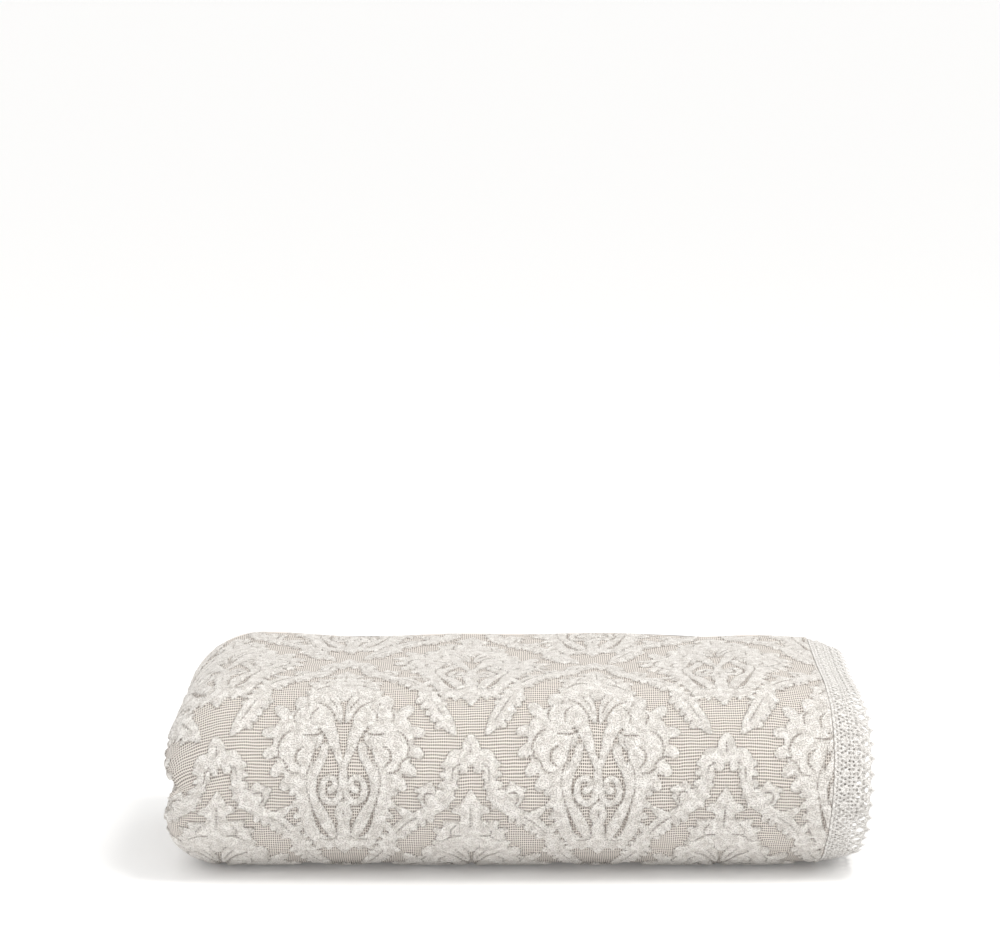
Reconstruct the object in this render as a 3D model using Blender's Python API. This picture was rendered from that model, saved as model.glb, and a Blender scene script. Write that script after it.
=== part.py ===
"""Folded bedspread: one woven panel, folded in thirds across and in eighths along, with a lace edging.

The panel is one closed section of three sheets, folded like a letter. It follows a path of eight
runs that lie on each other, joined by half-round turns. The whole pile is then settled: its ends
sink and round off, its front bulges and the lace droops over the right end.
Sizes are in metres, X runs along the pile, the front faces -Y and Z is up.
"""
import math

import bmesh
import bpy
import numpy as np

# Cloth and packet
PANEL_LENGTH = 2.50
OVERALL_WIDTH = 0.767
SHEET = 0.0050
SHEET_PITCH = 0.0089
RUN_PITCH = 3 * SHEET_PITCH
HALF_SHEET = SHEET / 2
HALF_PACKET = SHEET_PITCH + HALF_SHEET

# Lace edging
LACE_WIDTH = 0.045
LACE_THICKNESS = 0.0020
LACE_REPEAT = 0.018
SEWN_GAP = 0.0005
TIGHT_RADIUS = 0.010
BEND_STEPS = 6

# Places along the width, before the pile settles
LEFT_EDGE = -OVERALL_WIDTH / 2
LEFT_FOLD = LEFT_EDGE + HALF_PACKET
HEM = OVERALL_WIDTH / 2 - LACE_WIDTH
RIGHT_FOLD = HEM - 0.014
INNER_HEM = LEFT_FOLD + 0.002
LEFT_STEPS = (0.012, 0.034, 0.074)
RIGHT_STEPS = (0.045,)
LEFT_OUTER_ARC = 6
LEFT_INNER_ARC = 4
RIGHT_OUTER_ARC = 4
RIGHT_INNER_ARC = 3

# Runs in the order in which the cloth passes them: height in the pile, how far the back end passes
# the shared back line, how far the left fold and the right hem stand out, and steps to the next run
NESTED = 0.0
BESIDE = RUN_PITCH
FREE = 1.5 * RUN_PITCH
RUN_COLUMNS = ("level", "back_end", "left_out", "right_out", "turn_steps")
RUNS = (
    (7, FREE + 0.006, 0.000, 0.000, 14),
    (0, NESTED, 0.000, 0.000, 7),
    (3, NESTED, -0.004, 0.003, 5),
    (4, BESIDE, -0.002, -0.002, 5),
    (5, BESIDE, -0.005, -0.004, 7),
    (2, NESTED, -0.001, 0.004, 5),
    (1, NESTED, -0.003, 0.001, 11),
    (6, FREE - 0.004, -0.004, -0.003, 0),
)
RUN_STEPS = 2

# How the pile settles
TOP = 7 * RUN_PITCH + 2 * HALF_PACKET
LEFT_ROUND = 0.089
LEFT_DRAW_REACH = 0.116
LEFT_SINK = 0.078
LEFT_LIFT_ROUND = 0.062
LEFT_LIFT = 0.042
RIGHT_ROUND = 0.080
RIGHT_SINK = 0.006
LEFT_RECESS = 0.018
LEFT_RECESS_ROUND = 0.071
RIGHT_RECESS = 0.0054
FRONT_START = 0.135
FRONT_REACH = 0.150
BELLY = 0.007
BELLY_LOWERED = 1.35
TOP_SAG = 0.005
TOP_SAG_REACH = 0.27
# Soft unevenness of the top and the front: its height, and its waves as radians a metre along X and
# along Y, a phase and a weight
WAVE = 0.0022
WAVE_COLUMNS = ("along_x", "along_y", "phase", "weight")
TOP_WAVES = (
    (17, 23, 1.5, 0.5),
    (17, -23, 0.7, 0.5),
    (31, -9, 0.0, 0.6),
)
FRONT_WAVE = {"along_x": 14, "up_the_front": 5}
# Height in the pile as a share of its top, how far the left end is drawn in there, how far the hem
# moves out, and how steeply the lace droops
END_COLUMNS = ("height", "drawn_in", "hem_out", "lace_droop_degrees")
ENDS = (
    (0.00, 0.001, -0.008, -15),
    (0.15, -0.001, -0.005, -10),
    (0.30, -0.001, -0.002, -4),
    (0.45, 0.001, 0.000, 0),
    (0.52, 0.003, 0.001, 2),
    (0.61, 0.010, 0.002, 4),
    (0.70, 0.001, 0.003, 6),
    (0.80, -0.003, 0.003, 9),
    (0.90, -0.002, 0.002, 14),
    (1.00, 0.000, -0.001, 22),
)
HEM_OUT_REACH = 0.24
LACE_BEND = 0.012


def row(columns, values):
    """One row of a table, with its values under their names."""
    return dict(zip(columns, values))


RUN_TABLE = [row(RUN_COLUMNS, values) for values in RUNS]
WAVE_TABLE = [row(WAVE_COLUMNS, values) for values in TOP_WAVES]
END_TABLE = {name: [values[i] for values in ENDS] for i, name in enumerate(END_COLUMNS)}


def at_height(name, share):
    """A column of the table of the ends, read smoothly at a share of the pile's height."""
    heights = END_TABLE["height"]
    share = min(max(share, 0.0), 1.0)
    i = min(max(int(np.searchsorted(heights, share)) - 1, 0), len(heights) - 2)
    t = (share - heights[i]) / (heights[i + 1] - heights[i])
    smooth = t * t * (3 - 2 * t)
    low, high = END_TABLE[name][i], END_TABLE[name][i + 1]
    return low + (high - low) * smooth


def level_height(level):
    """Height of a run's middle."""
    return HALF_PACKET + level * RUN_PITCH


def turn_radius(run, following):
    """Radius of the turn that joins two runs, at the packet's middle."""
    return abs(run["level"] - following["level"]) * RUN_PITCH / 2


def run_length():
    """Straight length of each run between the shared front and back lines."""
    turns = sum(math.pi * turn_radius(a, b) for a, b in zip(RUN_TABLE, RUN_TABLE[1:]))
    ends = sum(run["back_end"] for run in RUN_TABLE)
    return (PANEL_LENGTH - turns - ends) / len(RUN_TABLE)


def path_segments():
    """Straight runs and turns from the hem on top to the hem under it, front line at y = 0."""
    back_line = run_length()
    segments = []
    for i, run in enumerate(RUN_TABLE):
        to_front = i % 2 == 0
        height = level_height(run["level"])
        back = back_line + run["back_end"]
        start, end = (back, 0.0) if to_front else (0.0, back)
        segments.append({
            "kind": "run", "start": start, "end": end, "height": height,
            "before": run, "after": run, "steps": RUN_STEPS,
        })
        if i + 1 < len(RUN_TABLE):
            following = RUN_TABLE[i + 1]
            segments.append({
                "kind": "turn", "centre": end, "outward": -1 if to_front else 1,
                "height": (height + level_height(following["level"])) / 2,
                "radius": turn_radius(run, following),
                "climb": 1 if following["level"] > run["level"] else -1,
                "before": run, "after": following, "steps": run["turn_steps"],
            })
    return segments


def frame_at(segment, share):
    """Where the packet's middle is at a share of a segment, its normal, and its edges' shifts."""
    if segment["kind"] == "run":
        y = segment["start"] + (segment["end"] - segment["start"]) * share
        z = segment["height"]
        travel = (math.copysign(1, segment["end"] - segment["start"]), 0.0)
    else:
        angle = math.pi * share
        y = segment["centre"] + segment["outward"] * segment["radius"] * math.sin(angle)
        z = segment["height"] - segment["climb"] * segment["radius"] * math.cos(angle)
        travel = (segment["outward"] * math.cos(angle), segment["climb"] * math.sin(angle))
    before, after = segment["before"], segment["after"]
    left = before["left_out"] * (1 - share) + after["left_out"] * share
    right = before["right_out"] * (1 - share) + after["right_out"] * share
    return {"y": y, "z": z, "normal": (travel[1], -travel[0]), "left_out": left, "right_out": right}


def length_at(segment, offset):
    """Length of a segment for a sheet that lies at an offset along the packet's normal."""
    if segment["kind"] == "run":
        return abs(segment["end"] - segment["start"])
    outside = frame_at(segment, 0.5)["normal"][0] * segment["outward"]
    return math.pi * (segment["radius"] + outside * offset)


def end_round(share):
    """0 inside the pile, rising towards its end as the side of an ellipse."""
    share = min(max(share, 0.0), 0.97)
    return 1 - math.sqrt(1 - share * share)


def fade(share):
    """A smooth step from 0 to 1."""
    share = min(max(share, 0.0), 1.0)
    return share * share * (3 - 2 * share)


def settle(x, y, z):
    """Moves a point of the flat-sided pile to where it lies once the pile has settled."""
    share = z / TOP
    from_left = x - LEFT_EDGE
    left_end = fade(1 - from_left / LEFT_DRAW_REACH)
    sink = LEFT_SINK * end_round(1 - from_left / LEFT_ROUND)
    sink += RIGHT_SINK * fade((x - HEM + RIGHT_ROUND) / RIGHT_ROUND)
    length = run_length()
    middle = fade(1 - abs(x) / TOP_SAG_REACH) * fade(1 - abs(y - length / 2) / length)
    sink += TOP_SAG * middle
    lift = LEFT_LIFT * end_round(1 - from_left / LEFT_LIFT_ROUND)
    wave = sum(
        wave["weight"] * math.sin(wave["along_x"] * x + wave["along_y"] * y + wave["phase"])
        for wave in WAVE_TABLE
    )
    top = TOP - sink + WAVE * wave
    new_z = lift + share * (top - lift)

    front = fade((FRONT_START - y) / FRONT_REACH)
    bulge = BELLY * math.sin(math.pi * min(BELLY_LOWERED * share, 1.0))
    front_wave = math.sin(FRONT_WAVE["along_x"] * x + FRONT_WAVE["up_the_front"] * share)
    bulge += WAVE * front_wave * math.sin(math.pi * share)
    recess = LEFT_RECESS * end_round(1 - from_left / LEFT_RECESS_ROUND)
    recess += RIGHT_RECESS * fade((x - HEM + RIGHT_ROUND) / RIGHT_ROUND)
    new_y = y + front * (recess - bulge)

    new_x = x + at_height("drawn_in", share) * left_end
    hem_out = at_height("hem_out", share) * fade((x - HEM + HEM_OUT_REACH) / HEM_OUT_REACH)
    beyond = max(x - HEM, 0.0)
    droop = math.radians(at_height("lace_droop_degrees", share))
    bent = min(beyond, LACE_BEND)
    along = beyond - 0.5 * bent * bent / LACE_BEND
    new_x += hem_out - along * (1 - math.cos(droop))
    new_z -= along * math.sin(droop)
    return (new_x, new_y, new_z)


def half_circle(centre_x, centre_w, radius, side, start_w, count):
    """Inner points of a half circle across a fold, from one sheet's face to the next."""
    points = []
    for i in range(1, count):
        angle = math.pi * i / count
        x = centre_x + side * radius * math.sin(angle)
        points.append((x, centre_w + start_w * radius * math.cos(angle)))
    return points


def packet_outline(left_out, right_out):
    """Closed outline of the three sheets, folded like a letter, as places along X and the normal."""
    left_fold = LEFT_FOLD - left_out
    right_fold = RIGHT_FOLD + right_out
    hem = HEM + right_out
    inner_hem = INNER_HEM - left_out
    from_left = [left_fold + step for step in LEFT_STEPS]
    centre = 0.5 * (from_left[-1] + right_fold)

    def face(w, start, end):
        """A sheet's face from one X to another, with points where the pile bends."""
        from_right = [end - step if end > start else start - step for step in RIGHT_STEPS]
        inside = sorted(from_left + [centre] + from_right, reverse=end < start)
        return [(start, w)] + [(x, w) for x in inside] + [(end, w)]

    q, h = SHEET_PITCH, HALF_SHEET
    outline = face(q + h, hem, left_fold)
    outline += half_circle(left_fold, 0, q + h, -1, 1, LEFT_OUTER_ARC)
    outline += face(-q - h, left_fold, right_fold)
    outline += half_circle(right_fold, -q / 2, q / 2 + h, 1, -1, RIGHT_OUTER_ARC)
    outline += face(h, right_fold, inner_hem)
    outline += face(-h, inner_hem, right_fold)
    outline += half_circle(right_fold, -q / 2, q / 2 - h, 1, 1, RIGHT_INNER_ARC)
    outline += face(-q + h, right_fold, left_fold)
    outline += half_circle(left_fold, 0, q - h, -1, -1, LEFT_INNER_ARC)
    outline += face(q - h, left_fold, hem)
    return outline


def placed(frame, x, w):
    """A settled point at an X and at a place along the packet's normal."""
    return settle(x, frame["y"] + w * frame["normal"][0], frame["z"] + w * frame["normal"][1])


def panel_mesh():
    """Vertices and faces of the panel: the packet's outline swept along the path, with closed ends."""
    segments = path_segments()
    stations = []
    for segment in segments:
        stations += [frame_at(segment, i / segment["steps"]) for i in range(segment["steps"])]
    stations.append(frame_at(segments[-1], 1.0))
    verts = []
    for frame in stations:
        outline = packet_outline(frame["left_out"], frame["right_out"])
        verts += [placed(frame, x, w) for x, w in outline]
    count = len(verts) // len(stations)
    faces = []
    for s in range(len(stations) - 1):
        for i in range(count):
            j = (i + 1) % count
            near, far = s * count, (s + 1) * count
            faces.append((near + i, near + j, far + j, far + i))
    faces.append(tuple(range(count)))
    faces.append(tuple(len(verts) - count + i for i in range(count)))
    return verts, faces


# One repeat of the lace. The columns are name, place along it as a share of the repeat, and place
# across it in metres. The names ending in 2 are the next repeat's, and the small eyelet lies across
# the repeats' border.
BORDER_POINTS = (
    ("seam", 0.0, 0.0),
    ("small_low", 0.0, 0.0244),
    ("small_high", 0.0, 0.0296),
    ("valley", 0.0, 0.0395),
)
REPEAT_POINTS = (
    ("small_right", 0.145, 0.0270),
    ("small_left", 0.855, 0.0270),
    ("large_low", 0.50, 0.0293),
    ("large_right", 0.73, 0.0335),
    ("large_high", 0.50, 0.0378),
    ("large_left", 0.27, 0.0335),
    ("tip", 0.50, LACE_WIDTH),
)
REPEAT_TRIANGLES = (
    ("seam", "seam2", "small_low2"),
    ("seam", "small_low2", "small_low"),
    ("small_low", "small_low2", "small_left"),
    ("small_low", "small_left", "small_right"),
    ("small_right", "small_left", "large_low"),
    ("small_right", "large_low", "large_left"),
    ("small_right", "large_left", "small_high"),
    ("small_high", "large_left", "valley"),
    ("valley", "large_left", "large_high"),
    ("valley", "large_high", "tip"),
    ("large_low", "small_left", "large_right"),
    ("small_left", "small_high2", "large_right"),
    ("small_high2", "valley2", "large_right"),
    ("valley2", "large_high", "large_right"),
    ("valley2", "tip", "large_high"),
)
BEND_TRIANGLES = (
    ("seam", "seam2", "small_low2"),
    ("seam", "small_low2", "small_low"),
    ("small_low", "small_low2", "small_high2"),
    ("small_low", "small_high2", "small_high"),
    ("small_high", "small_high2", "valley2"),
    ("small_high", "valley2", "valley"),
)


def lace_cells():
    """Cells along the lace: their segments' share of the path, and whether they hold eyelets."""
    cells = []
    stretch = 0.0
    for segment in path_segments():
        length = length_at(segment, SHEET_PITCH)
        tight = segment["kind"] == "turn" and length / math.pi < TIGHT_RADIUS
        if tight:
            count = round(stretch / LACE_REPEAT)
            cells += [(stretch / count, True)] * count
            cells += [(length / BEND_STEPS, False)] * BEND_STEPS
            stretch = 0.0
        else:
            stretch += length
    count = round(stretch / LACE_REPEAT)
    return cells + [(stretch / count, True)] * count


def lace_frame(distance):
    """The path's frame at a distance along the outer sheet, on which the lace is sewn."""
    segments = path_segments()
    for segment in segments:
        length = length_at(segment, SHEET_PITCH)
        if distance <= length or segment is segments[-1]:
            return frame_at(segment, min(distance / length, 1.0))
        distance -= length


def lace_mesh():
    """Vertices and faces of the lace: a flat pattern of triangles, bent along the path."""
    flat = [(0.0, across) for _, _, across in BORDER_POINTS]
    triangles = []
    start = 0.0
    border = {name: i for i, (name, _, _) in enumerate(BORDER_POINTS)}
    for length, eyelets in lace_cells():
        names = dict(border)
        if eyelets:
            for name, along, across in REPEAT_POINTS:
                names[name] = len(flat)
                flat.append((start + along * length, across))
        start += length
        border = {}
        for name, _, across in BORDER_POINTS:
            border[name] = len(flat)
            names[name + "2"] = len(flat)
            flat.append((start, across))
        pattern = REPEAT_TRIANGLES if eyelets else BEND_TRIANGLES
        triangles += [tuple(names[name] for name in corner) for corner in pattern]

    verts = []
    for side in (0.5, -0.5):
        for distance, across in flat:
            frame = lace_frame(distance)
            x = HEM + frame["right_out"] + SEWN_GAP + across * (1 - SEWN_GAP / LACE_WIDTH)
            verts.append(placed(frame, x, SHEET_PITCH + side * LACE_THICKNESS))
    below = len(flat)
    edges = {(t[i], t[(i + 1) % 3]) for t in triangles for i in range(3)}
    faces = list(triangles)
    faces += [(a + below, c + below, b + below) for a, b, c in triangles]
    faces += [(a + below, b + below, b, a) for a, b in sorted(edges) if (b, a) not in edges]
    return verts, faces


def material(name, colour, roughness):
    """A plain cloth material."""
    made = bpy.data.materials.new(name)
    made.use_nodes = True
    shader = made.node_tree.nodes["Principled BSDF"]
    shader.inputs["Base Color"].default_value = (*colour, 1.0)
    shader.inputs["Roughness"].default_value = roughness
    shader.inputs["Metallic"].default_value = 0.0
    return made


def add_object(name, verts, faces, centre, finish):
    """A closed, smoothly shaded object, moved so that the whole part's base is centred."""
    bm = bmesh.new()
    for x, y, z in verts:
        bm.verts.new((x - centre[0], y - centre[1], z - centre[2]))
    bm.verts.ensure_lookup_table()
    for face in faces:
        bm.faces.new([bm.verts[i] for i in face])
    bmesh.ops.recalc_face_normals(bm, faces=bm.faces)
    bmesh.ops.triangulate(bm, faces=bm.faces)
    mesh = bpy.data.meshes.new(name)
    bm.to_mesh(mesh)
    bm.free()
    mesh.shade_smooth()
    mesh.set_sharp_from_angle(angle=math.radians(50))
    mesh.materials.append(finish)
    made = bpy.data.objects.new(name, mesh)
    bpy.context.scene.collection.objects.link(made)
    return made


def main():
    for old in list(bpy.data.objects):
        bpy.data.objects.remove(old, do_unlink=True)
    panel_verts, panel_faces = panel_mesh()
    lace_verts, lace_faces = lace_mesh()
    every = np.array(panel_verts + lace_verts)
    low, high = every.min(axis=0), every.max(axis=0)
    centre = ((low[0] + high[0]) / 2, (low[1] + high[1]) / 2, low[2])
    woven = material("woven_cream", (0.76, 0.71, 0.65), 0.95)
    lace = material("lace_white", (0.84, 0.80, 0.74), 0.95)
    add_object("bedspread_panel", panel_verts, panel_faces, centre, woven)
    add_object("lace_edging", lace_verts, lace_faces, centre, lace)


main()
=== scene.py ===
"""The folded bedspread as it is seen: woven panel with a raised damask, and its lace edging.

Sizes are in metres, X runs along the pile, the front faces -Y and Z is up. The first values and the
folding repeat the part's source, so that the cloth lies on its solids. The damask is drawn in
millimetres, from the middle of a medallion, across and down.
"""

import math

import bmesh
import bpy
import numpy as np
from mathutils.geometry import delaunay_2d_cdt
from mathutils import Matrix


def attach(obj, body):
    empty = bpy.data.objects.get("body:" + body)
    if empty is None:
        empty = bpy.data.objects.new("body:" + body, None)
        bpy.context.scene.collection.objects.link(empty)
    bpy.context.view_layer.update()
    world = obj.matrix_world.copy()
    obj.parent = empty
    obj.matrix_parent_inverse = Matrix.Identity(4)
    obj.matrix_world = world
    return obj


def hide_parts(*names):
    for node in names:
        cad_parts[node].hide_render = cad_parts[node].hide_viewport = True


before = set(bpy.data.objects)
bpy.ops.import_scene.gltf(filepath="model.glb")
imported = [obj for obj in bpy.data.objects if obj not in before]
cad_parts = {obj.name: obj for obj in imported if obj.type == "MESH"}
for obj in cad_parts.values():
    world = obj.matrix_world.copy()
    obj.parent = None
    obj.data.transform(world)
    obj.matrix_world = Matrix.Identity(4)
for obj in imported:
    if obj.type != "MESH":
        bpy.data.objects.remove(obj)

MM = 0.001

# Cloth and packet
PANEL_LENGTH = 2.50
OVERALL_WIDTH = 0.767
SHEET = 0.0050
SHEET_PITCH = 0.0089
RUN_PITCH = 3 * SHEET_PITCH
HALF_SHEET = SHEET / 2
HALF_PACKET = SHEET_PITCH + HALF_SHEET

# Lace edging
LACE_WIDTH = 0.045
LACE_REPEAT = 0.018
SEWN_GAP = 0.0005
TIGHT_RADIUS = 0.010

# Places along the width, before the pile settles
LEFT_EDGE = -OVERALL_WIDTH / 2
LEFT_FOLD = LEFT_EDGE + HALF_PACKET
HEM = OVERALL_WIDTH / 2 - LACE_WIDTH
RIGHT_FOLD = HEM - 0.014
INNER_HEM = LEFT_FOLD + 0.002
LEFT_STEPS = (0.010, 0.030, 0.058, 0.095)
RIGHT_STEPS = (0.045,)
LEFT_INNER_STEPS = 8

# Runs in the order in which the cloth passes them: height in the pile, how far the back end passes
# the shared back line, and how far the left fold and the right hem stand out
NESTED = 0.0
BESIDE = RUN_PITCH
FREE = 1.5 * RUN_PITCH
RUN_COLUMNS = ("level", "back_end", "left_out", "right_out")
RUNS = (
    (7, FREE + 0.006, 0.000, 0.000),
    (0, NESTED, 0.000, 0.000),
    (3, NESTED, -0.004, 0.003),
    (4, BESIDE, -0.002, -0.002),
    (5, BESIDE, -0.005, -0.004),
    (2, NESTED, -0.001, 0.004),
    (1, NESTED, -0.003, 0.001),
    (6, FREE - 0.004, -0.004, -0.003),
)

# How the pile settles
TOP = 7 * RUN_PITCH + 2 * HALF_PACKET
END_ROUND_LIMIT = 0.97
LEFT_ROUND = 0.089
LEFT_DRAW_REACH = 0.116
LEFT_SINK = 0.078
LEFT_LIFT_ROUND = 0.062
LEFT_LIFT = 0.042
RIGHT_ROUND = 0.080
RIGHT_SINK = 0.006
LEFT_RECESS = 0.018
LEFT_RECESS_ROUND = 0.071
RIGHT_RECESS = 0.0054
FRONT_START = 0.135
FRONT_REACH = 0.150
BELLY = 0.007
BELLY_LOWERED = 1.35
TOP_SAG = 0.005
TOP_SAG_REACH = 0.27
# Soft unevenness of the top and the front: its height, and its waves as radians a metre along X and
# along Y, a phase and a weight
WAVE = 0.0022
WAVE_COLUMNS = ("along_x", "along_y", "phase", "weight")
TOP_WAVES = (
    (17, 23, 1.5, 0.5),
    (17, -23, 0.7, 0.5),
    (31, -9, 0.0, 0.6),
)
FRONT_WAVE = {"along_x": 14, "up_the_front": 5}
# Height in the pile as a share of its top, how far the left end is drawn in there, how far the hem
# moves out, and how steeply the lace droops
END_COLUMNS = ("height", "drawn_in", "hem_out", "lace_droop_degrees")
ENDS = (
    (0.00, 0.001, -0.008, -15),
    (0.15, -0.001, -0.005, -10),
    (0.30, -0.001, -0.002, -4),
    (0.45, 0.001, 0.000, 0),
    (0.52, 0.003, 0.001, 2),
    (0.61, 0.010, 0.002, 4),
    (0.70, 0.001, 0.003, 6),
    (0.80, -0.003, 0.003, 9),
    (0.90, -0.002, 0.002, 14),
    (1.00, 0.000, -0.001, 22),
)
HEM_OUT_REACH = 0.24
LACE_BEND = 0.012

# Visual cloth: spacing of its points, how far the damask stands over and its ground under the
# solid's face, from which angle its edges are sharp, and in millimetres how soft and ragged the
# damask's edges, loops and grooves are
FINE = 0.00258
MIDDLE = 0.0046
RIGHT_ARC_STEPS = 6
HEM_STEPS = 4
RAISED = 0.0010
SUNK = 0.0016
SHARP_CLOTH = 62
SHARP_LACE = 75
SHOULDER = 2.6
LOOPS = 0.00030
LOOP_SIZE = 2.6
GROOVE = 0.0009
GROOVE_SIDE = 0.6
GROOVE_WIDTH = 1.1
RAGGED = 0.7
RAGGED_SIZE = 3.4
HEM_PLAIN = 0.001
HEM_FADE = 0.004
NOISE_CELLS = 97
RAGGED_SEED = 5
LOOP_SEED = 7
NOISE_SHIFT = 900

# Damask: size of its repeat, where its first column lies from the hem and its row along the cloth.
# Points are across, down and a half width, and a frond also has lobes along its sides.
REPEAT_ACROSS = 275.0
REPEAT_DOWN = 375.0
COLUMN_FROM_HEM = 254.0
ROW_FROM_FOLD = 114.4
TILE_STEP = 0.75
TILE_FAR = 12.0
TILE_REACH = 7.0
# A frond's lobes, as shares: where on the stem the first and the last are, how far out their roots
# and their bellies lie, and their half widths at root, belly and tip
LOBES_FROM = 0.15
LOBES_TO = 0.97
LOBE_ROOT = 0.45
LOBE_BELLY = 0.45
LOBE_HALF_WIDTHS = (0.5, 0.52, 0.42)

STROKE_COLUMNS = ("name", "points")
STROKES = (
    ("spade", ((0, -141, 1.2), (0, -132, 5.5), (0, -123, 10.5), (0, -115, 9), (0, -106, 5.5),
        (0, -98, 7), (0, -84, 10), (0, -72, 9), (0, -60, 4.5))),
    ("spade shoulder", ((4, -113, 5.5), (12, -119, 5.5), (18, -117, 2.6))),
    ("split leaf", ((3, -27, 1.8), (6, -36, 4.6), (10, -48, 7.4), (16, -60, 8.4), (25, -70, 7))),
    ("inner leaf", ((0.5, 27, 2.4), (4, 16, 3.6), (8, 4, 4.6), (12, -10, 6.5), (18, -24, 8))),
    ("upper leaf", ((19, -32, 9), (31, -32, 13), (46, -29, 16), (58, -20, 15), (63, -8, 13))),
    ("heart side", ((63, -8, 13), (63, 4, 12.5), (59, 17, 11.5), (52, 28, 10.5), (45, 38, 9))),
    ("heart middle", ((32, -8, 10), (43, 2, 13), (46, 18, 13), (42, 32, 8))),
    ("band", ((20, 2, 4.4), (22, 12, 4.8), (28, 24, 4.8), (33, 36, 5), (34, 48, 5),
        (31, 61, 5.2), (24, 74, 6), (18, 88, 6.6), (12, 100, 6))),
    ("ring", ((1.5, 28, 2.8), (2, 38, 3), (2.6, 47, 3.2), (5, 57, 3.6), (12, 62, 3.8),
        (20, 58, 3.6), (23, 48, 3.4), (20.5, 38.5, 3.2), (14, 34.5, 3), (9, 38.5, 3),
        (9.2, 45, 3.4), (13, 48, 4.2))),
    ("outer strand", ((44, 40, 8), (43.5, 54, 8), (41, 68, 7.8), (38.5, 82, 7.4), (35, 96, 7.2),
        (27, 109, 7.2), (14, 117, 7.2))),
    ("drop", ((0, 63, 3), (0, 68, 6.5), (0, 74, 9.5), (0, 80, 8), (0, 86, 5.6), (0, 92, 7),
        (0, 100, 5.5))),
    ("foot", ((0, 108, 8), (0, 118, 10.5), (0, 127, 6), (0, 136, 1.4))),
    ("bud", ((0, -200, 1.8), (0, -193, 6.6), (0, -186, 9.4), (0, -179, 8.6), (0, -172, 4.4))),
    ("arm", ((7, -163, 4.4), (9, -172, 6), (15, -177, 7.6), (20, -170, 7.8), (20.5, -160, 6.6),
        (21, -150, 6.2), (24, -137, 6.2), (30, -127, 6.6), (41, -119, 7), (55, -111, 6.8),
        (70, -102, 6.8), (82, -87, 6.8), (91, -71, 7.2), (98, -54, 8.4), (105, -40, 8.8),
        (112, -27, 7.4), (120, -14, 2.4))),
    ("fan", ((36, -124, 5), (42, -129, 8), (46, -132, 9.4))),
    ("thorn", ((62, -108, 5.6), (71, -114, 5), (79, -120, 2.2))),
)
FROND_COLUMNS = ("name", "lobe", "every", "sides", "lean", "points")
FRONDS = (
    ("spade wing", 8.5, 11, (1, -1), 0.5, ((3, -94, 7), (14, -96, 8.5), (25, -89, 8),
        (33, -80, 5))),
    ("lower wing", 8, 11, (1, -1), 0.5, ((5, -74, 7), (18, -74, 8.5), (30, -67, 7.5),
        (38, -58, 4.5))),
    ("heart top", 14, 19, (-1,), -0.1, ((16, -42, 6), (32, -44, 6), (48, -40, 6), (61, -31, 6),
        (67, -18, 6))),
    ("heart lobes", 12.5, 17, (-1,), 0.35, ((66, -24, 7), (69, -8, 7), (67, 6, 7), (62, 19, 7),
        (53, 33, 6))),
    ("heart foot", 7.5, 13, (-1,), 0.6, ((58, 28, 4), (49, 40, 4), (47, 56, 4), (44, 72, 4),
        (41, 88, 4))),
    ("foot leaf", 6.5, 9.5, (1, -1), 0.5, ((4, 111, 6), (14, 116, 6.6), (24, 118, 5.4),
        (31, 116, 3.2))),
    ("arm side", 7, 11, (-1,), 0.4, ((20, -176, 4.5), (22, -160, 4), (24, -145, 4),
        (29, -131, 3))),
    ("arm inside", 5, 11, (1,), 0.2, ((20, -162, 4.5), (21, -149, 4.5), (24, -135, 4.5),
        (31, -124, 4.5))),
    ("fan lobes", 6.5, 7, (1, -1), 0.5, ((35, -122, 4.5), (42, -129, 7), (47, -136, 7),
        (50, -142, 3.6))),
    ("arm heel", 7.5, 10.5, (1,), 0.4, ((38, -118, 4.5), (54, -109, 5), (70, -98, 5),
        (83, -82, 5.4))),
    ("arm back", 7, 11, (-1,), 0.4, ((76, -98, 4), (87, -80, 4.5), (95, -62, 5.6),
        (104, -45, 6))),
    ("end lobes", 8.5, 10.5, (1,), 0.3, ((84, -72, 5), (94, -56, 6), (103, -42, 6.5),
        (112, -26, 5))),
)
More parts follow.
